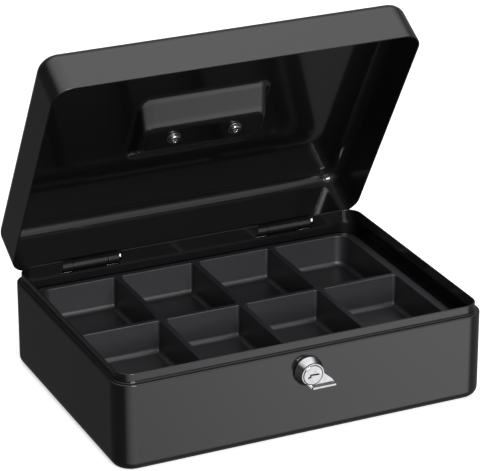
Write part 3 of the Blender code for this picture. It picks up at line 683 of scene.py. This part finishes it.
def buildBail():
    reach = hypot(handle["reachY"], handle["reachZ"])
    half = roundedLine([(handle["end"], 0, 0), (handle["half"], 0, handle["endBend"]),
                        (handle["half"], reach, handle["gripBend"]), (0, reach, 0)], False, 10)
    route = half + [(-x, along) for x, along in reversed(half[:-1])]
    mesh = bpy.data.meshes.new("handleBail")
    places = [(x, handle["pivot"][0] + handle["reachY"] * along / reach,
               handle["pivot"][1] + handle["reachZ"] * along / reach) for x, along in route]
    mesh.from_pydata(places, [(i, i + 1) for i in range(len(places) - 1)], [])
    bail = bpy.data.objects.new("handleBail", mesh)
    scene.collection.objects.link(bail)
    throughTree(bail, wireTree, {"Radius": handle["wire"], "Around": handle["around"], "Material": chrome})
    finished(bail, chrome, "handle", ("handle_bail",), turn=lidTurn)


def buildRivets():
    top, thick, lip = rivet["flareTop"], rivet["flareThick"], rivet["lip"]
    low = top - thick
    headLow, headTop = rivet["headLow"], rivet["headLow"] + rivet["headThick"]
    near = 0.00005
    profile = [(near, top + 0.0006), (rivet["hollow"], top)]
    profile += arcPoints((rivet["hollow"] + lip, low + lip), lip, 180, 270, 5)
    profile += arcPoints((rivet["flare"] - 2 * lip, low + 2 * lip), 2 * lip, 270, 360, 6)
    profile += [(rivet["flare"] - 0.0003, top), (rivet["shank"], top), (rivet["shank"], headLow)]
    profile += arcPoints((rivet["head"] - 0.001, headTop - 0.001), 0.001, 0, 90, 5)
    profile.insert(len(profile) - 6, (rivet["head"], headLow))
    profile.append((near, headTop))
    for sideName, side in sides:
        centre = (0.0, lid["rivetY"], 0.0)
        piece = newPiece("handleRivet" + sideName, [turnedBody(profile, "Z", centre=centre, around=40)])
        throughTree(piece, rowTree, {"Count": 1, "First": (side * lid["rivetX"], 0.0, 0.0),
                                     "Step": (0.0, 0.0, 0.0), "Material": chrome})
        node = sideName.lower()
        finished(piece, chrome, "lid", ("handle_rivet_" + node,), turn=lidTurn)
        refined("handle_washer_" + node, "handleWasher" + sideName, zinc, "lid", 0.00015)


buildBail()
buildRivets()
refined("handle_bracket", "handleBracket", zinc, "lid", 0.00015)
print("handle ready")


# lock

lock = {
    "face": -0.006, "rear": 0.0042, "faceRadius": 0.0073, "skirt": 0.0096, "barrel": 0.0076,
    "bore": 0.0067, "rearBore": 0.0056, "plugFace": -0.0077, "step": -0.0045, "plugRear": 0.0045,
    "tail": 0.003, "tailEnd": 0.0061, "keyDepth": 0.004,
    "leverFront": -0.0074, "leverRear": -0.0063, "leverRing": 0.0074, "lip": 0.002, "lipThick": 0.0012,
}


def fromFront(*names):
    return [frontY + lock[name] for name in names]


def buildLock():
    centre = (0.0, 0.0, lockZ)
    fit = box["fit"]
    face, rear, step, plugFace, plugRear, tailEnd = fromFront(
        "face", "rear", "step", "plugFace", "plugRear", "tailEnd")
    skirtY = frontY - fit
    profile = [(lock["rearBore"], rear), (lock["rearBore"], step + fit), (lock["bore"], step + fit)]
    profile += arcPoints((lock["bore"] + 0.0003, face + 0.0003), 0.0003, 180, 270, 4)
    profile += arcPoints((lock["faceRadius"] - 0.0006, face + 0.0006), 0.0006, 270, 340, 5)
    profile += arcPoints((lock["skirt"] - 0.0008, skirtY - 0.0010), 0.0008, -20, 90, 6)
    profile += [(lock["skirt"] - 0.0008, skirtY), (lock["barrel"], skirtY), (lock["barrel"], rear)]
    housing = newPiece("lockHousing", [turnedBody(profile, "Y", True, centre, around=96)])
    finished(housing, chrome, "case", ("lock_housing",), sharp=40)

    disc, shaft = lock["bore"] - fit, lock["rearBore"] - fit
    profile = [(0.00005, plugFace)]
    profile += arcPoints((disc - 0.0005, plugFace + 0.0005), 0.0005, 270, 360, 5)
    profile += [(disc, step), (shaft, step), (shaft, plugRear - fit), (lock["tail"], plugRear - fit),
                (lock["tail"], tailEnd), (0.00005, tailEnd)]
    plug = newPiece("lockPlug", [turnedBody(profile, "Y", False, centre, around=96)])
    keyway = [(-0.0035, -0.0020), (-0.0012, -0.0014), (-0.0012, -0.0002), (0.0041, -0.0005),
              (0.0041, 0.0006), (-0.0022, 0.0009), (-0.0022, -0.0004), (-0.0035, -0.0009)]
    slot = [(x, lockZ + z) for x, z in keyway]
    shapedBy(plug, [drawnOut(slot, plugFace - 0.001, plugFace + lock["keyDepth"], "Y")])
    finished(plug, chrome, "lock", ("lock_plug",), sharp=40)

    front, back = fromFront("leverFront", "leverRear")
    outline = arcPoints((0.0, 0.0), lock["leverRing"], 0, 190, 48)
    outline += roundedLine([(-0.0012, -0.0089, 0.0012), (0.0152, -0.0089, 0.0008),
                            (0.0130, -0.0049, 0.003), (0.0092, -0.0016, 0.0015)], False)
    outline = [(x, lockZ + z) for x, z in outline]
    lever = newPiece("lockLever", [drawnOut(outline, front, back, "Y")])
    top = -0.0089 + lock["lipThick"]
    lip = roundedLine([(-0.0008, -0.0089, 0.0005), (0.0150, -0.0089, 0.0005),
                       (0.0147, top, 0.0005), (-0.0008, top, 0.0005)])
    lip = [(x, lockZ + z) for x, z in lip]
    shapedBy(lever, [drawnOut(lip, front - lock["lip"], front + fit, "Y")], "UNION")
    shapedBy(lever, [turnedBody([(lock["bore"], front - 0.001), (lock["bore"], back + 0.001)],
                                "Y", False, centre, around=96)])
    finished(lever, chrome, "lock", ("lock_lever",), edge=0.0002, sharp=40)


buildLock()
refined("lock_nut", "lockNut", zinc, "case", 0.0003)
refined("lock_cam", "lockCam", zinc, "lock", 0.0002)
refined("cam_screw", "camScrew", zinc, "lock", 0.0002)
print("lock ready")


# coin tray

trayLow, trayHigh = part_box("coin_tray")
tray = {
    "top": trayHigh.z, "bottom": trayLow.z, "halfX": 0.1105, "frontY": -0.0657, "rearY": 0.079,
    "wall": 0.0018, "draft": 0.0006, "corner": 0.008, "flange": 0.0016, "flangeSide": 0.006,
    "flangeEnds": 0.0044, "smallCorner": 0.0023, "floor": 0.028, "fillet": 0.0033, "rim": 0.0005,
    "rowWall": (0.005, 0.0086), "columnWalls": (-0.0554, 0.0, 0.0554), "columnHalf": 0.0019,
}


def trayHollow(x, y, outerSide):
    centre = (sum(x) / 2, sum(y) / 2)
    halfX, halfY = (x[1] - x[0]) / 2, (y[1] - y[0]) / 2
    radii = [tray["smallCorner"]] * 4
    if outerSide:
        corners = {(1, False): 0, (-1, False): 1, (-1, True): 2, (1, True): 3}
        radii[corners[(outerSide, y[0] < 0)]] = tray["corner"]
    rim = tray["rim"]
    profile = [(-rim, tray["top"] + 0.001)]
    profile += arcPoints((-rim, tray["top"] - rim), rim, 90, 0, 4)
    profile += arcPoints((tray["fillet"] + tray["draft"], tray["floor"] + tray["fillet"]),
                         tray["fillet"], 180, 270, 8)
    rings = []
    for inset, z in profile:
        corners = tuple(max(radius - inset, 0.0007) for radius in radii)
        rings.append(roundedRing(halfX - inset, halfY - inset, corners, z, centre, 7))
    return throughRings(rings)


def buildTray():
    bodyX = tray["halfX"] + tray["wall"]
    bodyY = (tray["frontY"] - tray["wall"], tray["rearY"] + tray["wall"])
    centre, halfY = (0.0, sum(bodyY) / 2), (bodyY[1] - bodyY[0]) / 2
    corner, foot = tray["corner"] + tray["wall"], 0.004
    flangeLow = tray["top"] - tray["flange"]
    profile = arcPoints((foot + tray["draft"], tray["bottom"] + foot), foot, 270, 180)
    rings = [roundedRing(bodyX - inset, halfY - inset, corner - inset, z, centre)
             for inset, z in profile + [(0.0, flangeLow)]]
    flangeX, flangeY = tray["halfX"] + tray["flangeSide"], halfY - tray["wall"] + tray["flangeEnds"]
    rim = tray["rim"]
    for inset, z in [(0.0, flangeLow)] + arcPoints((rim, tray["top"] - rim), rim, 180, 90, 4):
        rings.append(roundedRing(flangeX - inset, flangeY - inset, corner + 0.002 - inset, z, centre))
    piece = newPiece("coinTray", [throughRings(rings)])
    edges = [-tray["halfX"]]
    for wall in tray["columnWalls"]:
        edges += [wall - tray["columnHalf"], wall + tray["columnHalf"]]
    edges.append(tray["halfX"])
    columns = list(zip(edges[0::2], edges[1::2]))
    rows = ((tray["frontY"], tray["rowWall"][0]), (tray["rowWall"][1], tray["rearY"]))
    hollows = []
    for number, column in enumerate(columns):
        outerSide = {0: -1, len(columns) - 1: 1}.get(number, 0)
        hollows += [trayHollow(column, row, outerSide) for row in rows]
    shapedBy(piece, hollows)
    finished(piece, plastic, "tray", ("coin_tray",))


buildTray()
print("tray ready")


# studio

studio = {
    "floorTone": 0.80, "floorGlow": 0.55, "floorHalf": 6.0,
    "backdrop": 1.0, "dim": 0.075, "overhead": 1.55, "fromRight": 0.12, "frontal": 2.15,
    "ceilingFade": (0.55, 0.92), "rightFade": (-0.3, 0.4), "frontFade": (-0.55, -0.9),
    "frontAcross": (0.33, 0.46, 0.55, 1.2), "frontHeight": (-0.40, -0.22, 1.0, 0.22),
    "key": {"place": (-0.15, -1.6, 0.62), "target": (0.0, 0.0, 0.08), "size": (0.7, 0.4), "power": 28.0},
    "camera": {"place": (-0.65004, -1.39911, 0.75828), "azimuth": -24.83, "elevation": 23.14,
               "roll": -0.10, "lens": 198.73},
}


def buildFloor():
    half = studio["floorHalf"]
    floor = newPiece("floor", [block((-half, half), (-half, half), (-0.02, -0.00001))])
    surface = bpy.data.materials.new("paleFloor")
    surface.use_nodes = True
    shader = surface.node_tree.nodes["Principled BSDF"]
    shader.inputs["Base Color"].default_value = (studio["floorTone"],) * 3 + (1.0,)
    shader.inputs["Roughness"].default_value = 0.9
    shader.inputs["Emission Color"].default_value = (1.0, 1.0, 1.0, 1.0)
    shader.inputs["Emission Strength"].default_value = studio["floorGlow"]
    floor.data.materials.append(surface)
    floor.visible_glossy = False


def areaLight(name, place, target, size, power, tint=(1.0, 1.0, 1.0)):
    data = bpy.data.lights.new(name, "AREA")
    data.shape = "RECTANGLE"
    data.size, data.size_y = size
    data.energy = power
    data.color = tint
    light = bpy.data.objects.new(name, data)
    light.location = place
    light.rotation_euler = (Vector(target) - Vector(place)).to_track_quat("-Z", "Y").to_euler()
    scene.collection.objects.link(light)


def buildWorld():
    # a pale backdrop, and a dim room with a soft ceiling, paler to the right and bright low ahead
    world = bpy.data.worlds.new("studio")
    world.use_nodes = True
    tree = world.node_tree
    room = tree.nodes["Background"]
    backdrop = tree.nodes.new("ShaderNodeBackground")
    backdrop.inputs["Strength"].default_value = studio["backdrop"]
    parts = tree.nodes.new("ShaderNodeSeparateXYZ")
    tree.links.new(tree.nodes.new("ShaderNodeTexCoord").outputs["Generated"], parts.inputs["Vector"])
    across, ahead, height = (parts.outputs[axis] for axis in "XYZ")
    above = rangeIn(tree, height, *studio["ceilingFade"], 0.0, studio["overhead"])
    right = rangeIn(tree, across, *studio["rightFade"], studio["dim"], studio["dim"] + studio["fromRight"])
    front = rangeIn(tree, ahead, *studio["frontFade"], 0.0, studio["frontal"])
    front = mathIn(tree, "MULTIPLY", front, rangeIn(tree, across, *studio["frontAcross"]))
    front = mathIn(tree, "MULTIPLY", front, rangeIn(tree, height, *studio["frontHeight"]))
    lowLight = mathIn(tree, "ADD", right, front)
    tree.links.new(mathIn(tree, "ADD", above, lowLight), room.inputs["Strength"])
    choice = tree.nodes.new("ShaderNodeMixShader")
    tree.links.new(tree.nodes.new("ShaderNodeLightPath").outputs["Is Camera Ray"], choice.inputs["Fac"])
    tree.links.new(room.outputs["Background"], choice.inputs[1])
    tree.links.new(backdrop.outputs["Background"], choice.inputs[2])
    tree.links.new(choice.outputs["Shader"], tree.nodes["World Output"].inputs["Surface"])
    for background in (room, backdrop):
        background.inputs["Color"].default_value = (1.0, 1.0, 1.0, 1.0)
    scene.world = world


def buildCamera():
    view = studio["camera"]
    data = bpy.data.cameras.new("camera")
    data.lens = view["lens"]
    data.sensor_width = 36.0
    data.clip_end = 50.0
    camera = bpy.data.objects.new("camera", data)
    camera.matrix_world = (Matrix.Translation(view["place"])
                           @ Matrix.Rotation(radians(view["azimuth"]), 4, "Z")
                           @ Matrix.Rotation(radians(90 - view["elevation"]), 4, "X")
                           @ Matrix.Rotation(radians(view["roll"]), 4, "Z"))
    scene.collection.objects.link(camera)
    scene.camera = camera


buildFloor()
buildWorld()
buildCamera()
areaLight("key", **studio["key"])
scene.view_settings.view_transform = "Standard"
print("studio ready")
